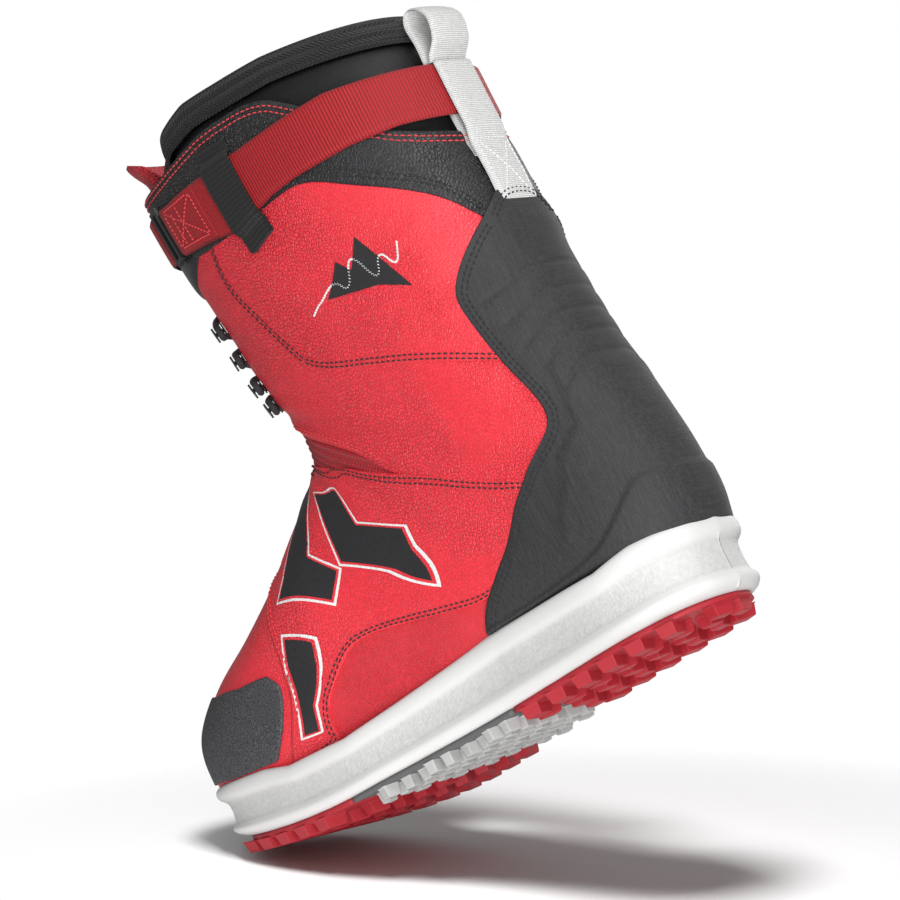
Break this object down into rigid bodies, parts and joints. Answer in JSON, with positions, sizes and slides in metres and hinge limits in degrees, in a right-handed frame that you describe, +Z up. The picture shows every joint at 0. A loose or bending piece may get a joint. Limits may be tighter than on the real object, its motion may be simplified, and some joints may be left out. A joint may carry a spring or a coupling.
{
  "type": "snowboard boot",
  "caption": "Right-foot soft snowboard boot: stitched leather upper over a padded liner, laced shin, power strap, rear pull loop and a lugged rubber and foam sole.",
  "frame": {"origin": "middle of the footprint on the ground, under the lugs", "axes": "+X towards the toe, +Y towards the inner (medial) side of this right boot, +Z up"},
  "size_m": [0.3142, 0.129, 0.3419],
  "materials": {
    "foam": "white foam, smooth lip over a fine-grained side band",
    "outsole_rubber": "moulded red rubber, matte",
    "insert_rubber": "moulded light grey rubber with dark grooves",
    "board": "pressed fibre board",
    "steel": "satin steel",
    "footbed_cloth": "cloth over foam",
    "leather_red": "red leather, tumbled grain, double stitched seams",
    "toe_rubber": "dark speckled rubber",
    "backstay_shell": "charcoal, fine crossed brushing",
    "leather_black": "black grained leather, red double stitching",
    "mesh_red": "red mesh",
    "tongue_cloth": "padded cloth",
    "liner_cloth": "smooth black lining cloth over foam",
    "rim_knit": "ribbed black knit over foam",
    "cord_black": "braided cord",
    "pad_black": "glossy black pad",
    "webbing_red": "red webbing with fine cross ribs",
    "webbing_black": "black ribbed webbing",
    "webbing_white": "white fine-woven tape, box stitched base"
  },
  "bodies": {
    "foot": {"midsole": "foam", "outsole_heel": "outsole_rubber", "outsole_insert": "insert_rubber", "outsole_forefoot": "outsole_rubber", "lasting_board": "board", "shank": "steel", "footbed": "footbed_cloth", "toe_box": "leather_red", "toe_cap": "toe_rubber", "vamp": "leather_red", "quarter_medial": "leather_red", "quarter_lateral": "leather_red", "arch_panel_medial": "leather_red", "arch_panel_lateral": "leather_red", "heel_counter": "toe_rubber", "tongue_lower": "tongue_cloth", "liner_foot": "liner_cloth", "gusset": "mesh_red", "tongue_flex": "tongue_cloth", "liner_ankle": "liner_cloth", "backstay_flex": "backstay_shell", "ankle_quarter_medial": "leather_red", "ankle_quarter_lateral": "leather_red"},
    "cuff": {"facing_medial": "leather_red", "facing_lateral": "leather_red", "cuff_quarter_medial": "leather_red", "cuff_quarter_lateral": "leather_red", "collar_medial": "leather_black", "collar_lateral": "leather_black", "backstay": "backstay_shell", "tongue_upper": "tongue_cloth", "liner_shaft": "liner_cloth", "liner_rim": "rim_knit", "lace_hook_1_medial": "steel", "lace_hook_1_lateral": "steel", "lace_hook_2_medial": "steel", "lace_hook_2_lateral": "steel", "lace_hook_3_medial": "steel", "lace_hook_3_lateral": "steel", "lace_hook_4_medial": "steel", "lace_hook_4_lateral": "steel", "lace": "cord_black", "strap_pad": "pad_black", "power_strap": "webbing_red", "strap_keeper_medial": "webbing_black", "strap_keeper_lateral": "webbing_black", "pull_loop_base": "webbing_white"},
    "strap_ring": {"strap_ring": "steel"},
    "strap_tail": {"strap_tail": "webbing_red"},
    "pull_loop": {"pull_loop": "webbing_white"}
  },
  "joints": [
    {"name": "cuff_flex", "type": "hinge", "parent": "foot", "child": "cuff", "pos_m": [-0.0675, 0, 0.105], "axis": [0, 1, 0], "range_deg": [-4, 12], "stiffness_Nm_per_rad": 60, "deforming": ["gusset", "tongue_flex", "liner_ankle", "backstay_flex", "ankle_quarter_medial", "ankle_quarter_lateral"]},
    {"name": "strap_ring_swing", "type": "hinge", "parent": "cuff", "child": "strap_ring", "pos_m": [0.02045, 0.05045, 0.2869], "axis": [0.1113, 0.0247, 0.9935], "range_deg": [0, 25]},
    {"name": "strap_tail_peel", "type": "hinge", "parent": "strap_ring", "child": "strap_tail", "pos_m": [0.03383, 0.04463, 0.28887], "axis": [0.1143, 0.0213, 0.9932], "range_deg": [0, 90]},
    {"name": "pull_loop_fold", "type": "hinge", "parent": "cuff", "child": "pull_loop", "pos_m": [-0.13555, 0, 0.2925], "axis": [0, 1, 0], "range_deg": [-60, 0], "stiffness_Nm_per_rad": 0.02}
  ]
}
